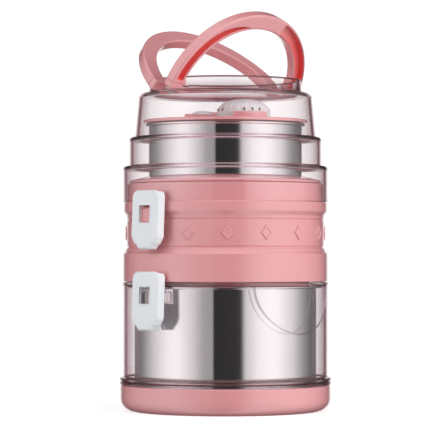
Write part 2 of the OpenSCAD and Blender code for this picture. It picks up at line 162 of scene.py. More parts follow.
def turned(name, corners, segments=SEGMENTS, shape=None):
    """A closed outline of (radius, height, rounding) corners, turned round the Z axis."""
    outline = filleted(corners)
    verts, faces = [], []
    count = len(outline)
    for s in range(segments):
        angle = 2 * math.pi * s / segments
        for r, z in outline:
            point = (r * math.cos(angle), r * math.sin(angle), z)
            verts.append(shape(point, angle) if shape else point)
    for s in range(segments):
        here, there = s * count, (s + 1) % segments * count
        for i in range(count):
            j = (i + 1) % count
            if outline[i][0] < 1e-6 and outline[j][0] < 1e-6:
                continue
            faces.append((here + i, there + i, there + j, here + j))
    obj = new_object(name, verts, faces)
    even_normals(obj)
    return obj


def modify(obj, kind, **settings):
    """Adds a modifier and applies it."""
    modifier = obj.modifiers.new(kind.lower(), kind)
    for key, value in settings.items():
        setattr(modifier, key, value)
    apply_modifiers(obj)


def apply_modifiers(obj):
    """Replaces the mesh with its evaluated one."""
    bpy.context.view_layer.update()
    graph = bpy.context.evaluated_depsgraph_get()
    mesh = bpy.data.meshes.new_from_object(obj.evaluated_get(graph))
    obj.modifiers.clear()
    obj.data = mesh


def soften(obj, width, segments=3, angle=30):
    """Rounds the edges sharper than an angle in degrees and evens the shading."""
    modify(obj, "BEVEL", width=width * MM, segments=segments, limit_method="ANGLE",
           angle_limit=math.radians(angle), harden_normals=False)
    for polygon in obj.data.polygons:
        polygon.use_smooth = True
    even_normals(obj)


def even_normals(obj):
    """Keeps flat faces flat under smooth shading."""
    modifier = obj.modifiers.new("even", "WEIGHTED_NORMAL")
    modifier.weight = 80
    modifier.keep_sharp = True


def soft_part(obj, width, segments=3, angle=30):
    """A softened part, ready to be joined with others."""
    soften(obj, width, segments, angle)
    apply_modifiers(obj)
    return obj


def prism(name, outline, low, high, place=None):
    """An outline in the XY plane, extruded from low to high, then placed by a matrix."""
    count = len(outline)
    verts = [(x, y, z) for z in (low, high) for x, y in outline]
    faces = [tuple(range(count))[::-1], tuple(range(count, 2 * count))]
    faces += [(i, (i + 1) % count, count + (i + 1) % count, count + i) for i in range(count)]
    if place:
        verts = [place @ Vector(v) for v in verts]
    return new_object(name, verts, faces, smooth=False)


def box_piece(name, low, high):
    """A block between two corners."""
    outline = [(low[0], low[1]), (high[0], low[1]), (high[0], high[1]), (low[0], high[1])]
    return prism(name, outline, low[2], high[2])


def cut(obj, cutter):
    """Takes the cutter out of the object."""
    modify(obj, "BOOLEAN", object=cutter, operation="DIFFERENCE", solver="EXACT")
    bpy.data.objects.remove(cutter)


def join(name, objects):
    """One object from several."""
    bm = bmesh.new()
    for obj in objects:
        copy = obj.data.copy()
        copy.transform(obj.matrix_world)
        bm.from_mesh(copy)
        bpy.data.meshes.remove(copy)
        bpy.data.objects.remove(obj)
    mesh = bpy.data.meshes.new(name)
    bm.to_mesh(mesh)
    bm.free()
    obj = bpy.data.objects.new(name, mesh)
    bpy.context.scene.collection.objects.link(obj)
    return obj


def turn_piece(obj, matrix):
    """Moves a piece's points by a matrix whose translation is in mm."""
    scaled = matrix.copy()
    scaled.translation *= MM
    obj.data.transform(scaled)
    obj.data.update()
    return obj


def side_turn(side):
    """The turn about Z that brings a piece from side 1, where it is made, to side 1 or -1."""
    return Matrix.Rotation(0 if side > 0 else math.pi, 4, "Z")


# X, Y of an outline become Y, Z; its depth becomes X
FACE_OUT = Matrix(((0, 0, 1, 0), (1, 0, 0, 0), (0, 1, 0, 0), (0, 0, 0, 1)))
# X, Y of an outline become X, Z; its depth becomes -Y
PROFILE_UP = Matrix.Rotation(math.pi / 2, 4, "X")


# ---------------------------------------------------------------- materials

def srgb(r, g, b):
    """A linear colour from 0-255 display values."""
    def linear(c):
        c /= 255
        return c / 12.92 if c <= 0.04045 else ((c + 0.055) / 1.055) ** 2.4
    return (linear(r), linear(g), linear(b), 1.0)


def map_range(tree, value, source, target=(0, 1), smooth=False):
    """A value, mapped from a source range to a target range."""
    node = tree.nodes.new("ShaderNodeMapRange")
    if smooth:
        node.interpolation_type = "SMOOTHSTEP"
    for key, number in zip(("From Min", "From Max", "To Min", "To Max"), source + target):
        node.inputs[key].default_value = number
    tree.links.new(value, node.inputs["Value"])
    return node.outputs["Result"]


def blend(tree, factor, first, second):
    """A mix of two colours, each a constant or a node's output."""
    node = tree.nodes.new("ShaderNodeMix")
    node.data_type = "RGBA"
    tree.links.new(factor, node.inputs["Factor"])
    for key, colour in (("A", first), ("B", second)):
        if isinstance(colour, tuple):
            node.inputs[key].default_value = colour
        else:
            tree.links.new(colour, node.inputs[key])
    return node.outputs["Result"]


def calculate(tree, operation, *values):
    """A Math node on constants and other nodes' outputs."""
    node = tree.nodes.new("ShaderNodeMath")
    node.operation = operation
    for place, value in enumerate(values):
        if isinstance(value, (int, float)):
            node.inputs[place].default_value = value
        else:
            tree.links.new(value, node.inputs[place])
    return node.outputs[0]


class Surface:
    """A node material: one Principled shader, with helpers that wire textures into it."""

    def __init__(self, name, **sockets):
        self.material = bpy.data.materials.new(name)
        self.material.use_nodes = True
        self.tree = self.material.node_tree
        self.shader = self.tree.nodes["Principled BSDF"]
        for key, value in sockets.items():
            self.shader.inputs[key.replace("_", " ")].default_value = value
        self.place = self.tree.nodes.new("ShaderNodeTexCoord").outputs["Object"]
        self.heights = []

    def link(self, output, target):
        self.tree.links.new(output, target)

    def noise(self, scale, detail, stretch=(1, 1, 1)):
        """Noise in object space, with cells about 1 / scale metres across."""
        mapping = self.tree.nodes.new("ShaderNodeMapping")
        mapping.inputs["Scale"].default_value = stretch
        self.link(self.place, mapping.inputs["Vector"])
        noise = self.tree.nodes.new("ShaderNodeTexNoise")
        noise.inputs["Scale"].default_value = scale
        noise.inputs["Detail"].default_value = detail
        self.link(mapping.outputs["Vector"], noise.inputs["Vector"])
        return noise.outputs["Fac"]

    def ranged(self, source, low, high):
        """Noise, mapped from its middle range to low..high."""
        return map_range(self.tree, source, (0.3, 0.7), (low, high))

    def attribute(self, name):
        """A number kept on the mesh's points."""
        node = self.tree.nodes.new("ShaderNodeAttribute")
        node.attribute_name = name
        return node.outputs["Fac"]

    def mottled(self, source, first, second):
        """A colour that wanders between two with the noise."""
        return blend(self.tree, self.ranged(source, 0, 1), first, second)

    def colours(self, source, first, second):
        """The noise drives the base colour between two colours."""
        self.link(self.mottled(source, first, second), self.shader.inputs["Base Color"])

    def rough(self, source, low, high):
        """The noise drives the roughness from low to high."""
        self.link(self.ranged(source, low, high), self.shader.inputs["Roughness"])

    def bump(self, source, height_mm):
        """Adds a bump of this height; several chain up."""
        bump = self.tree.nodes.new("ShaderNodeBump")
        bump.inputs["Strength"].default_value = 1.0
        bump.inputs["Distance"].default_value = height_mm * MM
        self.link(source, bump.inputs["Height"])
        if self.heights:
            self.link(self.heights[-1], bump.inputs["Normal"])
        self.heights.append(bump.outputs["Normal"])
        self.link(bump.outputs["Normal"], self.shader.inputs["Normal"])


def pink_plastic():
    """Glossy moulded polypropylene: faint mottling, a little orange peel, hairline scuffs."""
    surface = Surface("pink_plastic", Roughness=0.22, IOR=1.55, Coat_Weight=1.0, Coat_Roughness=0.12,
                      Subsurface_Weight=0.06, Subsurface_Scale=0.002)
    surface.shader.inputs["Subsurface Radius"].default_value = (1.0, 0.45, 0.4)
    surface.colours(surface.noise(26, 4), srgb(226, 153, 156), srgb(230, 158, 161))
    surface.rough(surface.noise(180, 5), 0.19, 0.27)
    surface.bump(surface.noise(420, 2), 0.012)
    surface.bump(surface.noise(60, 6, stretch=(1, 1, 14)), 0.01)
    return surface.material


CHANNEL_GLOW = "glow_share"            # point attribute: how strong a handle channel's painted glow and deeper red are, standing in for light bouncing inside it


def channel_glow_pink():
    """The same plastic where the handles' channels carry painted light: a warmer, deeper red and a faint glow
    stand in for light bouncing inside them.
    """
    surface = Surface("channel_glow_pink", Roughness=0.3, IOR=1.49)
    inputs = surface.shader.inputs
    inputs["Emission Color"].default_value = srgb(222, 60, 62)
    glow_share = surface.attribute(CHANNEL_GLOW)
    # a faint emission: painted glow of the light bouncing in the channel
    surface.link(map_range(surface.tree, glow_share, (0, 1), (0, 0.06)), inputs["Emission Strength"])
    red = surface.mottled(surface.noise(26, 4), srgb(228, 106, 104), srgb(232, 112, 110))
    surface.link(blend(surface.tree, glow_share, srgb(230, 148, 148), red), inputs["Base Color"])
    surface.rough(surface.noise(180, 5), 0.26, 0.36)
    surface.bump(surface.noise(420, 2), 0.012)
    return surface.material


def mirror_steel():
    """Polished stainless steel with fine turned lines and faint smears."""
    surface = Surface("mirror_steel", Metallic=1.0, Roughness=0.03)
    surface.colours(surface.noise(9, 3), (0.80, 0.79, 0.80, 1), (0.76, 0.755, 0.765, 1))
    surface.rough(surface.noise(30, 5), 0.015, 0.045)
    surface.bump(surface.noise(40, 4, stretch=(0.6, 0.6, 60)), 0.0025)
    return surface.material


EDGE_SHADE = "rim"              # point attribute: how much painted shade darkens the clear plastic at a moulded edge


def clear_plastic():
    """Clear moulded plastic, mauve where its upright walls are seen edge on, and darkened with painted shade at
    marked rims.
    """
    surface = Surface("clear_plastic", Roughness=0.015, IOR=1.46, Transmission_Weight=1.0)
    tree, inputs = surface.tree, surface.shader.inputs
    facing = tree.nodes.new("ShaderNodeLayerWeight")
    facing.inputs["Blend"].default_value = 0.5
    grazing = map_range(tree, facing.outputs["Facing"], (0.55, 0.95), smooth=True)
    normal = tree.nodes.new("ShaderNodeSeparateXYZ")
    surface.link(tree.nodes.new("ShaderNodeNewGeometry").outputs["Normal"], normal.inputs[0])
    upright = map_range(tree, calculate(tree, "ABSOLUTE", normal.outputs["Z"]), (0.9, 0.2))
    edge_on = calculate(tree, "MULTIPLY", grazing, upright)
    body = surface.mottled(surface.noise(14, 2), (0.997, 0.985, 0.99, 1), (0.99, 0.975, 0.98, 1))
    tinted = blend(tree, edge_on, body, (0.72, 0.46, 0.52, 1))
    # painted shade: a dark rose at the marked rims, in place of the dark surroundings seen in them
    rim_shaded = blend(tree, surface.attribute(EDGE_SHADE), tinted, (0.26, 0.10, 0.115, 1))
    surface.link(rim_shaded, inputs["Base Color"])
    surface.rough(surface.noise(50, 4), 0.008, 0.03)
    surface.bump(surface.noise(24, 2), 0.03)
    absorb = tree.nodes.new("ShaderNodeVolumeAbsorption")
    absorb.inputs["Color"].default_value = (0.90, 0.58, 0.65, 1)
    absorb.inputs["Density"].default_value = 34
    surface.link(absorb.outputs["Volume"], tree.nodes["Material Output"].inputs["Volume"])
    return surface.material


def white_plastic():
    """Satin cool-white latch plastic with a fine moulded texture."""
    surface = Surface("white_plastic", Roughness=0.32, IOR=1.5,
                      Subsurface_Weight=0.08, Subsurface_Scale=0.002)
    surface.colours(surface.noise(40, 4), srgb(238, 240, 243), srgb(232, 235, 239))
    surface.rough(surface.noise(240, 4), 0.28, 0.38)
    surface.bump(surface.noise(900, 2), 0.01)
    return surface.material


def frosted_plastic():
    """Translucent grey-white plastic of the steam cap and vent seat."""
    surface = Surface("frosted_plastic", Roughness=0.3, IOR=1.46, Transmission_Weight=0.15,
                      Subsurface_Weight=0.25, Subsurface_Scale=0.004)
    surface.colours(surface.noise(60, 4), srgb(243, 238, 239), srgb(236, 230, 232))
    surface.rough(surface.noise(160, 4), 0.24, 0.36)
    surface.bump(surface.noise(500, 2), 0.01)
    return surface.material


def pin_steel():
    """Drawn steel wire with lines along it."""
    surface = Surface("pin_steel", Metallic=1.0, Roughness=0.28)
    surface.colours(surface.noise(120, 3), (0.62, 0.62, 0.63, 1), (0.52, 0.52, 0.54, 1))
    surface.bump(surface.noise(300, 4, stretch=(1, 0.05, 1)), 0.01)
    return surface.material


def silicone():
    """Milky silicone seal."""
    surface = Surface("silicone", Roughness=0.5, Subsurface_Weight=0.4, Subsurface_Scale=0.003)
    surface.colours(surface.noise(70, 4), srgb(236, 234, 232), srgb(226, 224, 222))
    surface.bump(surface.noise(600, 3), 0.015)
    return surface.material


def slot_shadow():
    """Dark inside of the steam cap's slots."""
    surface = Surface("slot_shadow", Roughness=0.7)
    surface.colours(surface.noise(300, 3), srgb(118, 52, 56), srgb(96, 42, 48))
    return surface.material


def pale_floor():
    """White studio table that glows a little, as an overexposed sweep does."""
    surface = Surface("pale_floor", Roughness=0.6, Emission_Strength=0.52)
    surface.shader.inputs["Emission Color"].default_value = (1, 1, 1, 1)
    surface.colours(surface.noise(4, 2), (0.90, 0.90, 0.90, 1), (0.885, 0.885, 0.885, 1))
    return surface.material


MATERIALS = {
    "pink_plastic": pink_plastic(),
    "steel": mirror_steel(),
    "clear_plastic": clear_plastic(),
    "white_plastic": white_plastic(),
    "frosted_plastic": frosted_plastic(),
    "pin_steel": pin_steel(),
    "seal": silicone(),
}
SLOT_SHADOW = slot_shadow()
CHANNEL_GLOW_PINK = channel_glow_pink()


def piece(obj, body, slot, *nodes):
    """Gives a piece its material, body and slot, and the CAD nodes it stands for."""
    if not obj.data.materials:
        obj.data.materials.append(MATERIALS[slot])
    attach(obj, body)
    if nodes:
        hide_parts(*nodes)
    if slot == "clear_plastic":
        obj.visible_shadow = False      # light falls through the clear walls
        obj.visible_diffuse = False


# ---------------------------------------------------------------- base, shell and vessels

def build_base():
    obj = turned("base_cup_skin", [
        (0, 0.8, 0), (54, 0.8, 0.5), (56, 0, 0.8), (BASE_R, 0, 10.5), (BASE_R, BASE_TOP, 0.9),
        (BASE_R - 2.8, BASE_TOP, 0.7), (BASE_R - 2.8, 4, 7), (0, 4, 0)])
    seat = turned("pot_seat", [(50, 3.8, 0), (54, 3.8, 0), (54, 5.1, 0.4), (50, 5.1, 0.4)])
    piece(obj, "pot", "pink_plastic", "base_cup")
    piece(seat, "pot", "pink_plastic")


def vessel_profile(radius, foot, rim, lip, foot_round):
    """A pressed vessel: rounded foot, straight wall, lip turned outward with a rolled edge."""
    return [(0, foot, 0), (radius, foot, foot_round), (radius, rim - 1.5, 0.7), (lip, rim - 1.5, 0.7),
            (lip, rim, 0.7), (radius - STEEL, rim, 0.8), (radius - STEEL, foot + STEEL, foot_round - STEEL),
            (0, foot + STEEL, 0)]


def build_vessels():
    pot = turned("lower_pot_skin", vessel_profile(POT_R, POT_FOOT, POT_RIM, POT_RIM_R, 8))
    piece(pot, "pot", "steel", "lower_pot")
    lip, foot, rim = reach("middle_bowl")
    bowl = turned("middle_bowl_skin", vessel_profile(POT_R, foot, rim, lip, 8))
    piece(bowl, "middle_bowl", "steel", "middle_bowl")
    small = turned("top_bowl_skin", [
        (0, BOWL_FOOT, 0), (BOWL_R, BOWL_FOOT, 4), (BOWL_R, BOWL_TOP - 2.2, 0.3),
        (BOWL_R + 2.1, BOWL_TOP - 2.2, 1.08), (BOWL_R + 2.1, BOWL_TOP, 1.08),
        (BOWL_R - STEEL, BOWL_TOP, 0.5), (BOWL_R - STEEL, BOWL_FOOT + STEEL, 3), (0, BOWL_FOOT + STEEL, 0)])
    piece(small, "top_bowl", "steel", "top_bowl")


# catch: outer face past the pivot, lower edge under it, half width, and half width of its groove
CATCH_FACE, CATCH_DROP, CATCH_HALF_W, GROOVE_HALF_W = 1.75, 19.2, 4.8, 0.7


def catch_block(name, side, pivot, root, height, groove):
    """A wedge catch that the latch window closes over; side is 1 for +X and -1 for -X."""
    face = abs(pivot.x) + CATCH_FACE
    low = pivot.z - CATCH_DROP
    top = low + height
    outline = filleted([(root, low, 0), (face, low, 0.3), (face, top - 1.6, 1.2),
                        (face - 1.2, top, 0.8), (root, top, 0)], steps=3)
    obj = prism(name, outline, -CATCH_HALF_W, CATCH_HALF_W, PROFILE_UP)
    if groove:
        half_w = GROOVE_HALF_W
        cut(obj, box_piece("cutter", (face - 1, -half_w, low - 1), (face + 2, half_w, top + 1)))
    turn_piece(obj, side_turn(side))
    soften(obj, 0.3, 2)
    return obj


def plaque_ridge():
    """The raised half-ellipse outline on the front of the clear shell."""
    half_w, drop, top = 37.5, 33.5, SHELL_TOP - 2.8
    width, rise, root, steps = 0.9, 0.4, -0.3, 96
    section = ((-0.5, root), (-0.5, rise / 2), (-0.25, rise), (0.25, rise), (0.5, rise / 2), (0.5, root))
    verts = []
    for i in range(steps + 1):
        t = math.pi + math.pi * i / steps
        across = Vector((half_w * math.cos(t), drop * math.sin(t)))
        normal = Vector((drop * math.cos(t), half_w * math.sin(t))).normalized()
        for side, height in section:
            x, z = across + normal * side * width
            radius = BAND_R + height
            verts.append((x, -math.sqrt(radius * radius - x * x), top + z))
    ring = len(section)
    faces = skin(steps + 1, ring)
    faces += [tuple(range(ring)), tuple(range(steps * ring, (steps + 1) * ring))]
    return new_object("plaque_ridge", verts, faces)


def paint_rim_shade(obj, shade_at):
    """Marks how much painted shade darkens the clear plastic, by a function of radius and height in mm."""
    marks = obj.data.attributes.new(EDGE_SHADE, "FLOAT", "POINT")
    for vertex, mark in zip(obj.data.vertices, marks.data):
        mark.value = shade_at(math.hypot(vertex.co.x, vertex.co.y) / MM, vertex.co.z / MM)


def bead_shade(radius, z):
    """Painted reflection of the dark gap on the bead over the base cup, darkest in its groove."""
    if radius < SHELL_IN + 1 or z > BASE_TOP + 6.2:
        return 0.0
    return 0.9 if abs(z - BASE_TOP - 2.95) < 0.7 else 0.45


def build_shell():
    bead = BASE_R + 0.4
    low = BASE_TOP + 0.2
    obj = turned("lower_shell_skin", [
        (SHELL_IN, 14.5, 0.4), (BASE_R - 3.1, 14.5, 0.4), (BASE_R - 3.1, low, 0.2), (bead, low, 0.8),
        (bead, low + 2.1, 0.6), (bead - 0.9, low + 2.6, 0.25), (bead - 0.9, low + 2.9, 0.25),
        (bead, low + 3.4, 0.6), (bead, low + 5.0, 0.9), (BAND_R, low + 5.7, 0.8),
        (BAND_R, SHELL_TOP - 2.8, 0.3), (BAND_R + 0.5, SHELL_TOP - 2.2, 0.3),
        (BAND_R + 0.5, SHELL_TOP - 0.3, 0.6), (SHELL_IN, SHELL_TOP, 0.5)])
    paint_rim_shade(obj, bead_shade)
    piece(obj, "pot", "clear_plastic", "lower_shell")
    piece(plaque_ridge(), "pot", "clear_plastic")
    for side, word in SIDES:
        pivot = hinge_point("lower_latch_%s_hinge" % word)
        block = catch_block("lower_catch_" + word, side, pivot, BAND_R - 0.6, 8.4, True)
        piece(block, "pot", "clear_plastic")


# ---------------------------------------------------------------- middle tier

FRIEZE_R, FRIEZE_LOW, FRIEZE_HIGH = 71.3, 117.0, 139.3
FLANGE_LOW, FLANGE_TOP = 144.7, 150.2


def jacket_profile():
    neck_r = SHELL_IN - 0.8
    groove_r = FRIEZE_R - 0.6
    return [
        (0, 94, 0), (59.5, 94, 1), (59.5, 86, 0.5), (62.5, 86, 0.5), (62.5, 89.4, 0.3), (61, 90.4, 0.3),
        (61, SHELL_TOP + 0.3, 0.4), (BAND_R, SHELL_TOP + 0.3, 0.7), (BAND_R, 113.2, 0.9),
        (FRIEZE_R + 1.3, FRIEZE_LOW - 1.9, 0.9), (FRIEZE_R + 0.6, FRIEZE_LOW, 0.35),
        (FRIEZE_R, FRIEZE_LOW + 0.1, 0.2), (FRIEZE_R, FRIEZE_LOW + 0.9, 0.2),
        (groove_r, FRIEZE_LOW + 1.1, 0.2), (groove_r, FRIEZE_LOW + 1.7, 0.2),
        (FRIEZE_R, FRIEZE_LOW + 1.9, 0.2), (FRIEZE_R, FRIEZE_HIGH - 1.9, 0.2),
        (groove_r, FRIEZE_HIGH - 1.7, 0.2), (groove_r, FRIEZE_HIGH - 1.1, 0.2),
        (FRIEZE_R, FRIEZE_HIGH - 0.9, 0.2), (FRIEZE_R, FRIEZE_HIGH + 1.2, 1.5),
        (BAND_R - 0.5, FLANGE_LOW - 1.2, 2.0), (BAND_R - 0.5, FLANGE_TOP, 0.5), (neck_r, FLANGE_TOP, 0.4),
        (neck_r, NECK_TOP, 0.6), (68.4, NECK_TOP, 0.4), (68.4, 97, 3), (0, 97, 0)]


def raised_diamond(angle):
    """One diamond: a bevelled plate with a sunk field and a raised rim."""
    half_w, half_h = 4.35, 5.3
    mid = (FRIEZE_LOW + FRIEZE_HIGH) / 2
    loops = ((1.0, FRIEZE_R - 0.8), (1.0, FRIEZE_R + 0.35), (0.9, FRIEZE_R + 0.95), (0.74, FRIEZE_R + 0.95),
             (0.64, FRIEZE_R + 0.55))
    verts = []
    for scale, radius in loops:
        for x, z in ((-half_w, 0), (0, -half_h), (half_w, 0), (0, half_h)):
            across = x * scale
            verts.append((math.sqrt(radius * radius - across * across), across, mid + z * scale))
    faces = skin(len(loops), 4) + [(3, 2, 1, 0), tuple(range(4 * len(loops) - 4, 4 * len(loops)))]
    obj = soft_part(new_object("diamond", verts, faces, smooth=False), 0.16, 2, angle=20)
    return turn_piece(obj, Matrix.Rotation(angle, 4, "Z"))


# ears along a latch pin: middle and half width, radius at the pin, half height at the root
EAR_Y, EAR_HALF_W, EAR_R, EAR_ROOT = 10, 1.25, 2.1, 1.5


def ear_pair(name, side, pivot, root):
    """Two ears that carry one latch pin."""
    pin_x = abs(pivot.x)
    outline = [(root, -EAR_ROOT), (pin_x, -EAR_R)]
    outline += arc_points((pin_x, 0), EAR_R, -math.pi / 2 + 0.3, math.pi / 2 - 0.3, 10)
    outline += [(pin_x, EAR_R), (root, EAR_ROOT)]
    ears = []
    for end in (-1, 1):
        middle = end * EAR_Y
        ear = soft_part(prism("ear", outline, middle - EAR_HALF_W, middle + EAR_HALF_W, PROFILE_UP), 0.2, 2)
        ears.append(turn_piece(ear, Matrix.Translation((0, 0, pivot.z))))
    return turn_piece(join(name, ears), side_turn(side))


def build_tier():
    obj = turned("middle_jacket_skin", jacket_profile())
    piece(obj, "middle_tier", "pink_plastic", "middle_jacket")
    places = 16          # the two under the latches are left out
    spots = [raised_diamond(2 * math.pi * i / places) for i in range(places) if i % (places // 2)]
    piece(join("frieze_diamonds", spots), "middle_tier", "pink_plastic")
    for side, word in SIDES:
        upper = hinge_point("upper_latch_%s_hinge" % word)
        piece(catch_block("upper_catch_" + word, side, upper, FRIEZE_R - 1, 10.4, False),
              "middle_tier", "pink_plastic")
        lower = hinge_point("lower_latch_%s_hinge" % word)
        piece(ear_pair("lower_ears_" + word, side, lower, BAND_R - 1), "middle_tier", "pink_plastic")


# ---------------------------------------------------------------- lids and vents

STEAM_Y, VENT_Y = -18.0, 24.0
STEAM_R, STEAM_FOOT, STEAM_RISE = 18.9, 5.0, 14.7     # dome's radius, foot and top over the lid
STEAM_LOW, STEAM_WALL = 0.2, 1.6
FLUTES, FLUTE_DEPTH = 20, 0.55
SPLASH_IN, SPLASH_OUT, SPLASH_H = 20.4, 22.2, 5.0
SPIGOT_R, SPIGOT_H = 5, 7.9


def build_lids():
    rim = NECK_TOP + 0.4
    seat = BOWL_FOOT - 0.3
    lid = turned("middle_lid_skin", [
        (59.8, 158, 0.5), (62.5, 158, 0.5), (62.5, 161, 0.3), (61, 162, 0.3), (61, rim, 0.4),
        (69.8, rim, 0.5), (69.8, rim + 1.6, 0.9), (67.4, rim + 2.6, 2.5), (58.6, 168.6, 1.2),
        (56.6, 168.6, 0.5), (BOWL_R + 0.4, seat, 0.4), (0, seat, 0), (0, seat - 2.4, 0),
        (59.8, seat - 2.4, 1)])
    piece(lid, "middle_lid", "pink_plastic", "middle_lid")
    under = BOWL_TOP + 0.3
    top = turned("top_lid_skin", [
        (48.8, under - 4.6, 0.4), (51.8, under - 4.6, 0.4), (51.8, under - 1.6, 0.3),
        (50.3, under - 0.8, 0.3), (50.3, under, 0.3), (LID_R, under, 0.5), (LID_R, LID_TOP, 0.9),
        (0, LID_TOP, 0), (0, under, 0), (48.8, under, 0.6)])
    piece(top, "top_lid", "pink_plastic", "top_lid")
    piece(splash_wall(), "top_lid", "pink_plastic")
    root, head = LID_TOP - 0.2, LID_TOP + SPIGOT_H
    profile = [(0, root, 0), (SPIGOT_R, root, 0), (SPIGOT_R, head, 0.8), (0, head, 0)]
    spigot = turned("steam_spigot", profile, segments=64)
    turn_piece(spigot, Matrix.Translation((0, STEAM_Y, 0)))
    piece(spigot, "top_lid", "pink_plastic")


def splash_wall():
    """The arc of wall beside the steam cap."""
    start, end = math.radians(204), math.radians(272)
    outline = arc_points((0, 0), SPLASH_IN, start, end, 40)
    outline += arc_points((0, 0), SPLASH_OUT, end, start, 40)
    place = Matrix.Translation((0, STEAM_Y, 0))
    wall = prism("splash_wall", outline, LID_TOP - 0.2, LID_TOP + SPLASH_H, place)
    soften(wall, 0.45, 3, angle=40)
    return wall


def steam_point(angle, share):
    """The steam cap's radius and height at an angle, share of the way from its foot to its top."""
    if share < 0.25:
        radius, height = STEAM_R, STEAM_LOW + (STEAM_FOOT - STEAM_LOW) * share / 0.25
    else:
        t = (share - 0.25) / 0.75 * math.pi / 2
        radius = STEAM_R * max(math.cos(t), 0) ** 0.8
        height = STEAM_FOOT + (STEAM_RISE - STEAM_FOOT) * math.sin(t)
    flute = max(math.cos(FLUTES * angle), 0) ** 1.5
    return radius - FLUTE_DEPTH * flute * max(0.0, 1 - (share / 0.72) ** 4), height


def steam_dome():
    """The fluted dome and its hollow, as one closed skin."""
    around, rings = FLUTES * 12, 34
    outside, inside = [], []
    for k in range(rings + 1):
        for i in range(around):
            angle = 2 * math.pi * i / around
            radius, height = steam_point(angle, k / rings)
            outside.append((radius * math.cos(angle), radius * math.sin(angle), height))
            inner = max(radius - STEAM_WALL, 0)
            if height > STEAM_FOOT:
                height = STEAM_LOW + max(height - STEAM_LOW - STEAM_WALL, 0)
            inside.append((inner * math.cos(angle), inner * math.sin(angle), height))
    base = len(outside)
    faces = skin(rings + 1, around)
    faces += [face[::-1] for face in skin(rings + 1, around, base)]
    faces += [((i + 1) % around, i, base + i, base + (i + 1) % around) for i in range(around)]
    return new_object("steam_cap_skin", outside + inside, faces)


def build_steam_cap():
    """Fluted dome with small slots between its flutes, in groups of three, shown as dark blocks of painted shadow.
    """
    place = Matrix.Translation((0, STEAM_Y, LID_TOP))
    piece(turn_piece(steam_dome(), place), "steam_cap", "frosted_plastic", "steam_cap")
    outline = filleted([(-1.1, -0.6, 0.4), (1.1, -0.6, 0.4), (1.1, 0.6, 0.4), (-1.1, 0.6, 0.4)], steps=3)
    lie = Matrix.Translation((STEAM_R - 1.1, 0, 6.6)) @ Matrix.Rotation(math.radians(68), 4, "Y")
    slots = []
    for i in range(FLUTES):
        if i % 5 > 1:
            spin = Matrix.Rotation(2 * math.pi * (i + 0.5) / FLUTES, 4, "Z")
            slots.append(turn_piece(prism("slot", outline, -1.4, 1.12), spin @ lie))
    # dark blocks set into the dome: painted shadow of the slots' insides
    dark = join("steam_slots", slots)
    dark.data.materials.clear()
    dark.data.materials.append(SLOT_SHADOW)
    piece(turn_piece(dark, place), "steam_cap", "frosted_plastic")


VENT_R, FLAP_PLATE = 10.6, LID_TOP + 2.9       # seat's radius, and underside of the flap


def build_vent_seat():
    low, floor, rim = LID_TOP + 0.1, LID_TOP + 1.2, LID_TOP + 2.6
    seat = turned("vent_seat_skin", [
        (0, low, 0), (VENT_R, low, 0), (VENT_R, rim, 0.8), (VENT_R - 2, rim, 0.6), (VENT_R - 2, floor, 0.3),
        (0, floor, 0)], segments=96)
    turn_piece(seat, Matrix.Translation((0, VENT_Y, 0)))
    piece(seat, "top_lid", "frosted_plastic", "vent_seat")


def build_vent_flap():
    """A round plate with a domed window, a thumb tab on one side and a hinge arm on the other."""
    hinge = hinge_point("vent_flap_hinge")
    sill = FLAP_PLATE + 1.9
    plate = turned("flap_plate", [
        (0, FLAP_PLATE, 0), (VENT_R - 0.4, FLAP_PLATE, 0.2), (VENT_R - 0.5, FLAP_PLATE + 2.2, 0.9),
        (8.6, FLAP_PLATE + 2.2, 0.3), (8.6, sill, 0.2), (0, sill, 0)], segments=96)
    dome = turned("flap_dome", [(0, sill, 0), (8.2, sill, 0.2), (7.9, sill + 1, 1.2), (4.4, sill + 3, 5),
                                (0, sill + 3.3, 0)], segments=96)
    turn_piece(dome, Matrix.Translation((0, VENT_Y, 0)))
    piece(dome, "vent_flap", "frosted_plastic")
    root, tip = 1.2 - VENT_R, -VENT_R - 5.9
    outline = filleted([(root, -6.4, 0.5), (tip, -1.5, 1.2), (tip, 1.5, 1.2), (root, 6.4, 0.5)], steps=4)
    tab = soft_part(prism("flap_tab", outline, FLAP_PLATE, FLAP_PLATE + 2.3), 0.4)
    arm = soft_part(box_piece("flap_arm", (1.5, -5.2, FLAP_PLATE + 0.4),
                              (hinge.x - 0.6, 5.2, FLAP_PLATE + 4.4)), 0.4)
    profile = [(0, -4.3, 0), (1.5, -4.3, 0.3), (1.5, 4.3, 0.3), (0, 4.3, 0)]
    barrel = turned("flap_barrel", profile, segments=40)
    turn_piece(barrel, Matrix.Translation((hinge.x, 0, hinge.z)) @ PROFILE_UP)
    flap = join("vent_flap_skin", [plate, tab, arm, barrel])
    turn_piece(flap, Matrix.Translation((0, VENT_Y, 0)))
    even_normals(flap)
    piece(flap, "vent_flap", "pink_plastic", "vent_flap")


def build_flap_cheeks():
    """Two rounded cheeks on the lid, one at each end of the flap's barrel."""
    middle, half_w, radius, height = 5.4, 0.8, 1.7, 1.9
    hinge = hinge_point("vent_flap_hinge")
    outline = [(-radius, -0.1), (radius, -0.1)] + arc_points((0, height), radius, 0, math.pi, 12)
    cheeks = []
    for end in (-1, 1):
        cheek = prism("cheek", outline, end * middle - half_w, end * middle + half_w, PROFILE_UP)
        cheeks.append(turn_piece(soft_part(cheek, 0.2, 2), Matrix.Translation((hinge.x, VENT_Y, LID_TOP))))
    piece(join("flap_cheeks", cheeks), "top_lid", "pink_plastic")


# ---------------------------------------------------------------- cover

def collar_shade(radius, z):
    """Painted shade at the collar's rim and its foot."""
    at_foot = abs(z - SHOULDER_Z) < 0.75 and radius < COLLAR_R + 1.0
    return 1.0 if z > COLLAR_TOP - 1.0 or at_foot else 0.0


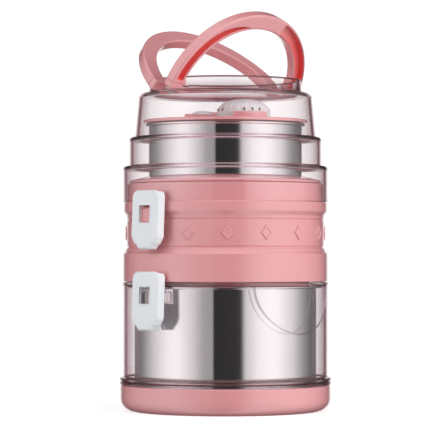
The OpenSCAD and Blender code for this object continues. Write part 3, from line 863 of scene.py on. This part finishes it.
def build_cover():
    seat_x = 52.9
    flat_half = math.sqrt(COLLAR_R ** 2 - seat_x ** 2) + 0.2
    wall = CLEAR_WALL
    collar_in = COLLAR_R - 2.7
    dome_low, dome_high = 65.5, 62.5

    def flat_seats(point, _angle):
        x, y, z = point
        if z > SHOULDER_Z + 0.5 and abs(y) < flat_half:
            x = math.copysign(min(abs(x), seat_x), x)
        return (x, y, z)

    cover = turned("stepped_cover_skin", [
        (SHELL_IN, SKIRT_LOW, 0.5), (BAND_R, SKIRT_LOW, 0.5), (BAND_R, SKIRT_TOP, 1.8),
        (STEP_R, SKIRT_TOP, 0.8), (STEP_R, STEP_TOP, 1.7), (dome_low, STEP_TOP, 0.8),
        (dome_high, SHOULDER_Z, 3.8), (COLLAR_R, SHOULDER_Z, 0.7),
        (COLLAR_R, COLLAR_TOP - 1.6, 0), (COLLAR_R, COLLAR_TOP, 0.8),
        (collar_in, COLLAR_TOP, 0.7), (collar_in, COLLAR_TOP - 1.6, 0), (collar_in, SHOULDER_Z - wall, 0.7),
        (dome_high - wall, SHOULDER_Z - wall, 2), (dome_low - wall, STEP_TOP - wall, 1),
        (STEP_R - wall, STEP_TOP - wall, 0.8), (STEP_R - wall, SKIRT_TOP - wall, 1),
        (SHELL_IN, SKIRT_TOP - wall, 0.8)], segments=288, shape=flat_seats)
    paint_rim_shade(cover, collar_shade)
    piece(cover, "cover", "clear_plastic", "stepped_cover")
    for side, word in SIDES:
        pivot = hinge_point("upper_latch_%s_hinge" % word)
        piece(ear_pair("upper_ears_" + word, side, pivot, SHELL_IN + 0.6), "cover", "clear_plastic")


# ---------------------------------------------------------------- latches

LATCH_HALF_W, LATCH_TOP, LATCH_DROP, LATCH_FACE = 13.5, 3.2, 38.4, 3.2
LATCH_BACK, LATCH_WALL, LATCH_ROUND = -3.4, 1.8, 2.1
LATCH_PLATE = 1.2            # back of the face plate, along X from the pin
TONGUE_HALF_W, TONGUE_H = 7.8, 4.0
WINDOW_HALF_W, WINDOW_TOP, WINDOW_LOW = 5.2, -7.6, -19.8
EAR_SLOT = (8.4, 11.6)       # room for each ear along the pin
AJAR = math.radians(2.6)


def latch_outline(inset):
    """Plate with rounded shoulders that step in to a narrower thumb tongue, in the YZ plane."""
    half, tongue = LATCH_HALF_W - inset, TONGUE_HALF_W - inset
    low, step = -LATCH_DROP + inset, -LATCH_DROP + TONGUE_H + inset
    side = [(half, LATCH_TOP - inset, 4.8), (half, step + 4.6, 3.0), (tongue + 2.6, step - 0.3, 1.6),
            (tongue + 0.9, step - 0.9, 0.5), (tongue - 1.4, low, 2.4)]
    mirrored = [(-y, z, r) for y, z, r in side]
    return filleted(mirrored + side[::-1], steps=9)


def latch_shell():
    """The latch's rounded outside and hollow back, as one closed skin."""
    turns = 7
    layers = [(LATCH_WALL, LATCH_PLATE), (LATCH_WALL, LATCH_BACK + 0.2), (LATCH_WALL - 0.2, LATCH_BACK),
              (0.25, LATCH_BACK), (0, LATCH_BACK + 0.25)]
    for k in range(turns + 1):
        angle = math.pi / 2 * k / turns
        depth = LATCH_FACE - LATCH_ROUND * (1 - math.sin(angle))
        layers.append((LATCH_ROUND * (1 - math.cos(angle)), depth))
    verts = [(depth, y, z) for inset, depth in layers for y, z in latch_outline(inset)]
    count = len(verts) // len(layers)
    last = len(verts) - count
    ends = [tuple(range(count)), tuple(range(last, len(verts)))]
    return new_object("shell", verts, skin(len(layers), count) + ends)


def window_outline(grow=0.0, rounding=0.7):
    """The window, or a larger frame round it, in the YZ plane."""
    half = WINDOW_HALF_W + grow
    return filleted([(-half, WINDOW_TOP + grow, rounding), (-half, WINDOW_LOW - grow, rounding),
                     (half, WINDOW_LOW - grow, rounding), (half, WINDOW_TOP + grow, rounding)], steps=5)


def build_latch(body, side):
    """A hollow-backed latch with a framed window, hung on its pin."""
    pivot = hinge_point(body + "_hinge")
    shell = latch_shell()
    cut(shell, prism("window", window_outline(), -6, 9, FACE_OUT))
    cut(shell, box_piece("ear_room", (-9, -11.7, 0.3), (LATCH_PLATE, 11.7, 20)))
    cut(shell, box_piece("catch_way_out", (-9, -5.2, -50), (LATCH_PLATE, 5.2, -34)))
    for low in (-EAR_SLOT[1], EAR_SLOT[0]):
        high = low + EAR_SLOT[1] - EAR_SLOT[0]
        cut(shell, box_piece("ear_slot", (-9, low, -1.9), (1.9, high, 20)))
        round_slot = arc_points((0, 0), 2.5, 0, 2 * math.pi, 32)[:-1]
        cut(shell, prism("ear_slot", round_slot, low, high, PROFILE_UP))
    surround = prism("surround", window_outline(1.15, 1.3), 2.4, LATCH_FACE + 0.3, FACE_OUT)
    cut(surround, prism("window", window_outline(), -2, 9, FACE_OUT))
    corners = [(5.7, -22.4, 0.25), (6.3, -22.4, 0.25), (6.3, -33.4, 0.25), (5.7, -33.4, 0.25)]
    crease = prism("crease", filleted(corners, steps=3), LATCH_FACE - 0.4, LATCH_FACE + 0.16, FACE_OUT)
    profile = [(1.06, -8.4, 0), (2.9, -8.4, 0.3), (2.9, 8.4, 0.3), (1.06, 8.4, 0)]
    barrel = turned("knuckle", profile, segments=48)
    turn_piece(barrel, Matrix.Rotation(-math.pi / 2, 4, "X"))
    latch = join(body + "_skin", [shell, soft_part(surround, 0.25), soft_part(crease, 0.12, 2), barrel])
    turn_piece(latch, Matrix.Rotation(-AJAR, 4, "Y"))
    turn_piece(latch, side_turn(side) @ Matrix.Translation((abs(pivot.x), 0, pivot.z)))
    even_normals(latch)
    piece(latch, body, "white_plastic", body)


# ---------------------------------------------------------------- handles

ARCH_W, ARCH_H, ARCH_DROP = 61.3, 57.0, 5.0
GRIP_ACROSS, GRIP_THICK = 11.5, 8.0
FOOT_DROP = 4.5
CHANNEL_DEPTH = 5.4
CHANNEL_LOW, SQUARE_END, POINT_END = 8.5, 68.0, 80.0
GLOW_FADE = 28.0             # degrees below its square end over which the wide channel turns to the painted red glow


def smoothstep(low, high, value):
    share = min(max((value - low) / (high - low), 0), 1)
    return share * share * (3 - 2 * share)


def channel_at(degrees):
    """The channel's inner and outer wall across the grip, and its depth, at an angle along the arch."""
    half = GRIP_ACROSS / 2
    if degrees <= 90:
        open_share = smoothstep(CHANNEL_LOW - 1.0, CHANNEL_LOW, degrees)
        open_share *= 1 - smoothstep(SQUARE_END - 0.3, SQUARE_END + 0.7, degrees)
        return -half + 1.5, half - 1.8, CHANNEL_DEPTH * open_share
    along = 180 - degrees
    share = min(max((along - CHANNEL_LOW) / (POINT_END - CHANNEL_LOW), 0), 1)
    inner = -half + 2.6 - 0.8 * smoothstep(0.6, 1, share)
    outer = inner + (GRIP_ACROSS - 5.4) * (1 - share ** 3)
    open_share = smoothstep(CHANNEL_LOW - 1.0, CHANNEL_LOW, along) * (1 - smoothstep(0.93, 1.0, share))
    return inner, outer, CHANNEL_DEPTH * open_share


def grip_section(inner, outer, depth):
    """One closed section of the handle: (across, out) points, with a channel in the outward face."""
    a, b, soft = GRIP_ACROSS / 2, GRIP_THICK / 2, 1.5
    quarter = [math.pi / 2 * k / 5 for k in range(6)]
    outline = [(-a + soft - soft * math.sin(t), -b + soft - soft * math.cos(t)) for t in quarter]
    outline += [(-a + soft - soft * math.cos(t), b - soft + soft * math.sin(t)) for t in quarter]
    right_side = [(-x, y) for x, y in reversed(outline)]
    edge = min(0.45, depth * 0.45, max((outer - inner) * 0.2, 0.01))
    for wall, way in ((inner, 1), (outer, -1)):
        points = [(wall - way * edge, b), (wall - way * edge * 0.3, b - edge * 0.3), (wall, b - edge),
                  (wall, b - depth * 0.5), (wall, b - depth + edge), (wall + way * edge, b - depth)]
        outline += points if way > 0 else points[::-1]
    return outline + right_side


def handle_arch(start):
    """The swept grip, upright over its pivot, between the angles start and pi - start."""
    steps = 420
    verts = []
    for i in range(steps + 1):
        t = start + (math.pi - 2 * start) * i / steps
        point = Vector((ARCH_W * math.cos(t), ARCH_H * math.sin(t) - ARCH_DROP))
        normal = Vector((math.cos(t), math.sin(t)))
        section = grip_section(*channel_at(math.degrees(t)))
        count = len(section)
        for across, out in section:
            spot = point + normal * across
            verts.append((spot.x, -out, spot.y))
    faces = skin(steps + 1, count)
    faces += [tuple(range(count)), tuple(range(steps * count, (steps + 1) * count))]
    return new_object("arch", verts, faces)


def handle_foot(foot_x, side):
    """A foot's rounded block and the boss on its inner face."""
    b = GRIP_THICK / 2
    inside, outside = foot_x - GRIP_ACROSS / 2, foot_x + GRIP_ACROSS / 2
    outline = filleted([(-b, -FOOT_DROP, 1.5), (b, -FOOT_DROP, 1.5), (b, 1.0, 0), (-b, 1.0, 0)])
    foot = soft_part(prism("foot", outline, inside, outside, FACE_OUT), 1.2, 4)
    boss = turned("boss", [(0, inside - 2.2, 0), (3.6, inside - 2.2, 0.4), (3.6, inside + 0.5, 0.2),
                           (0, inside + 0.5, 0)], segments=48)
    turn_piece(boss, Matrix.Rotation(side * math.pi / 2, 4, "Y"))
    return [turn_piece(foot, side_turn(side)), boss]


def paint_channel_glow(handle):
    """Gives the channels' inside the painted glow and deeper red that stand in for light bouncing there, and marks
    where it fades, on an upright handle.
    """
    handle.data.materials.append(MATERIALS["pink_plastic"])
    handle.data.materials.append(CHANNEL_GLOW_PINK)
    floor, lip = -(GRIP_THICK / 2 - 0.5), GRIP_THICK / 2 - 1.8
    for polygon in handle.data.polygons:
        x, y, z = polygon.center / MM
        off = abs(math.hypot(x / ARCH_W, (z + ARCH_DROP) / ARCH_H) - 1)
        if off < 0.088 and floor < y < lip and z > 2.5:
            polygon.material_index = 1
    marks = handle.data.attributes.new(CHANNEL_GLOW, "FLOAT", "POINT")
    for vertex, mark in zip(handle.data.vertices, marks.data):
        x, _, z = vertex.co / MM
        along = math.degrees(math.atan2((z + ARCH_DROP) / ARCH_H, x / ARCH_W))
        mark.value = smoothstep(0, GLOW_FADE, SQUARE_END - along) if along < 90 else 1.0


def build_handle(body, facing, lean):
    """An arched handle with channelled legs. facing is -1 for the front handle and 1 for the back one."""
    pivot = hinge_point(body + "_hinge")
    start = math.asin(ARCH_DROP / ARCH_H)
    foot_x = ARCH_W * math.cos(start)
    handle = join(body + "_skin", [handle_arch(start)] + handle_foot(foot_x, -1) + handle_foot(foot_x, 1))
    paint_channel_glow(handle)
    tilt = Matrix.Rotation(-facing * lean, 4, "X")
    turn_piece(handle, Matrix.Translation((0, pivot.y, pivot.z)) @ tilt @ side_turn(-facing))
    even_normals(handle)
    piece(handle, body, "pink_plastic", body)


# ---------------------------------------------------------------- studio

CAMERA_AZIMUTH = math.radians(-46)
CAMERA_DISTANCE, CAMERA_HEIGHT, CAMERA_LEFT = 1.795, 0.1104, 0.0075
PITCH_UP = math.radians(0.99)
LENS = 207.6

# the studio's walls: degrees to the right of the camera, and brightness. Two softboxes with a dark
# gap between them, and a dim room behind the object
STUDIO = [
    (-180, 0.10), (-145, 0.13), (-130, 0.19), (-120, 0.33), (-104, 0.67), (-91, 0.90), (-77, 1.12),
    (-70, 1.20), (-60, 1.18), (-52, 1.04), (-42, 0.83), (-33, 0.61), (-28, 0.47), (-16, 0.41),
    (-14, 0.035), (14, 0.045), (19, 0.08), (25, 0.78), (30, 0.90), (40, 1.13), (47, 1.22), (59, 1.30),
    (70, 1.23), (78, 1.07), (91, 0.90), (103, 0.57), (112, 0.38), (126, 0.19), (135, 0.12), (150, 0.07),
    (180, 0.10)]
ROSE = (1.0, 0.52, 0.58)      # tint of the dark room behind the object
# lit sweep behind the object: full up to the first angle from its middle, gone by the second, in degrees
SWEEP_ASIDE, SWEEP_UP = (10, 27), (14, 18)


def camera_frame():
    """Unit vectors from the object to the camera and to the camera's right."""
    towards = Vector((math.sin(CAMERA_AZIMUTH), -math.cos(CAMERA_AZIMUTH), 0))
    right = Vector((-towards.y, towards.x, 0))
    return towards, right


def build_camera():
    towards, right = camera_frame()
    data = bpy.data.cameras.new("camera")
    data.lens, data.sensor_width = LENS, 36
    camera = bpy.data.objects.new("camera", data)
    camera.location = towards * CAMERA_DISTANCE - right * CAMERA_LEFT + Vector((0, 0, CAMERA_HEIGHT))
    look = -towards * math.cos(PITCH_UP) + Vector((0, 0, math.sin(PITCH_UP)))
    camera.rotation_euler = look.to_track_quat("-Z", "Y").to_euler()
    bpy.context.scene.collection.objects.link(camera)
    bpy.context.scene.camera = camera


def build_world():
    """A white room whose walls follow STUDIO, brighter overhead; the camera itself sees plain white."""
    world = bpy.data.worlds.new("studio")
    world.use_nodes = True
    tree = world.node_tree
    nodes, links = tree.nodes, tree.links
    nodes.clear()
    direction = nodes.new("ShaderNodeSeparateXYZ")
    links.new(nodes.new("ShaderNodeTexCoord").outputs["Generated"], direction.inputs[0])
    x, y, z = direction.outputs

    def share_of(axis):
        """How far a direction points along a level axis."""
        return calculate(tree, "MULTIPLY_ADD", x, axis.x, calculate(tree, "MULTIPLY", y, axis.y))

    towards, right = camera_frame()
    ahead, aside = share_of(towards), share_of(right)
    angle = calculate(tree, "ARCTAN2", aside, ahead)
    ramp = nodes.new("ShaderNodeValToRGB")
    links.new(calculate(tree, "MULTIPLY_ADD", angle, 0.5 / math.pi, 0.5), ramp.inputs["Fac"])
    elements = ramp.color_ramp.elements
    elements.remove(elements[-1])
    for i, (degrees, value) in enumerate(STUDIO):
        place = degrees / 360 + 0.5
        element = elements[0] if i == 0 else elements.new(place)
        element.position = place
        hue = ROSE if abs(degrees) >= 145 else (1.0, 1.0, 1.0)
        element.color = [value * part for part in hue] + [1]
    aside_range = tuple(math.cos(math.radians(degrees)) for degrees in SWEEP_ASIDE[::-1])
    up_range = tuple(math.sin(math.radians(degrees)) for degrees in SWEEP_UP[::-1])
    behind = map_range(tree, calculate(tree, "MULTIPLY", ahead, -1.0), aside_range, smooth=True)
    level = map_range(tree, calculate(tree, "ABSOLUTE", z), up_range, smooth=True)
    sweep = calculate(tree, "MULTIPLY", behind, level)
    backdrop = blend(tree, sweep, ramp.outputs["Color"], (1.0, 1.0, 1.0, 1))
    overhead = map_range(tree, z, (0.35, 0.75), smooth=True)
    in_front = map_range(tree, ahead, (-0.45, 0.0), smooth=True)
    ceiling = calculate(tree, "MULTIPLY", overhead, in_front)
    lit = nodes.new("ShaderNodeBackground")
    links.new(blend(tree, ceiling, backdrop, (1.0, 1.0, 1.02, 1)), lit.inputs["Color"])
    seen = nodes.new("ShaderNodeBackground")
    seen.inputs["Color"].default_value = (1, 1, 1, 1)
    seen.inputs["Strength"].default_value = 1.05
    choose = nodes.new("ShaderNodeMixShader")
    links.new(nodes.new("ShaderNodeLightPath").outputs["Is Camera Ray"], choose.inputs[0])
    links.new(lit.outputs[0], choose.inputs[1])
    links.new(seen.outputs[0], choose.inputs[2])
    links.new(choose.outputs[0], nodes.new("ShaderNodeOutputWorld").inputs["Surface"])
    bpy.context.scene.world = world


def area_light(name, angle, distance, height, size, power):
    """A soft lamp, degrees right of the camera, aimed at the object; it isn't mirrored in the steel."""
    towards, right = camera_frame()
    data = bpy.data.lights.new(name, "AREA")
    data.size, data.energy = size, power
    lamp = bpy.data.objects.new(name, data)
    turn = math.radians(angle)
    lamp.location = (towards * math.cos(turn) + right * math.sin(turn)) * distance + Vector((0, 0, height))
    aim = Vector((0, 0, 0.14)) - lamp.location
    lamp.rotation_euler = aim.to_track_quat("-Z", "Y").to_euler()
    lamp.visible_glossy = False
    lamp.visible_transmission = False
    bpy.context.scene.collection.objects.link(lamp)


def build_studio():
    half = 3000
    corners = [(-half, -half, 0), (half, -half, 0), (half, half, 0), (-half, half, 0)]
    floor = new_object("floor", corners, [(0, 1, 2, 3)], smooth=False)
    floor.data.materials.append(pale_floor())
    floor.visible_glossy = False        # the steel mirrors the studio walls below the horizon too
    floor.visible_transmission = False
    floor.visible_diffuse = False
    area_light("lamp_right", 48, 1.3, 0.35, 0.9, 8)
    area_light("lamp_left", -62, 1.3, 0.5, 0.9, 3)
    build_world()
    build_camera()
    scene = bpy.context.scene
    scene.view_settings.view_transform = "Standard"
    scene.cycles.use_denoising = True
    scene.cycles.max_bounces = 24
    scene.cycles.transmission_bounces = 20
    scene.cycles.glossy_bounces = 12
    scene.cycles.transparent_max_bounces = 24


def finish_small_parts():
    """CAD nodes that keep their own shape get their finish."""
    slots = {entry["node"]: entry["material_slot"] for entry in frame["record"]["subparts"]}
    for name, node in frame["nodes"].items():
        node.data.materials.clear()
        node.data.materials.append(MATERIALS[slots[name]])


finish_small_parts()
build_base()
build_shell()
build_vessels()
build_tier()
build_lids()
build_steam_cap()
build_vent_seat()
build_vent_flap()
build_flap_cheeks()
build_cover()
for latch, latch_side in (("lower_latch_left", -1), ("lower_latch_right", 1),
                          ("upper_latch_left", -1), ("upper_latch_right", 1)):
    build_latch(latch, latch_side)
build_handle("handle_front", -1, math.radians(30))
build_handle("handle_back", 1, math.radians(46))
build_studio()
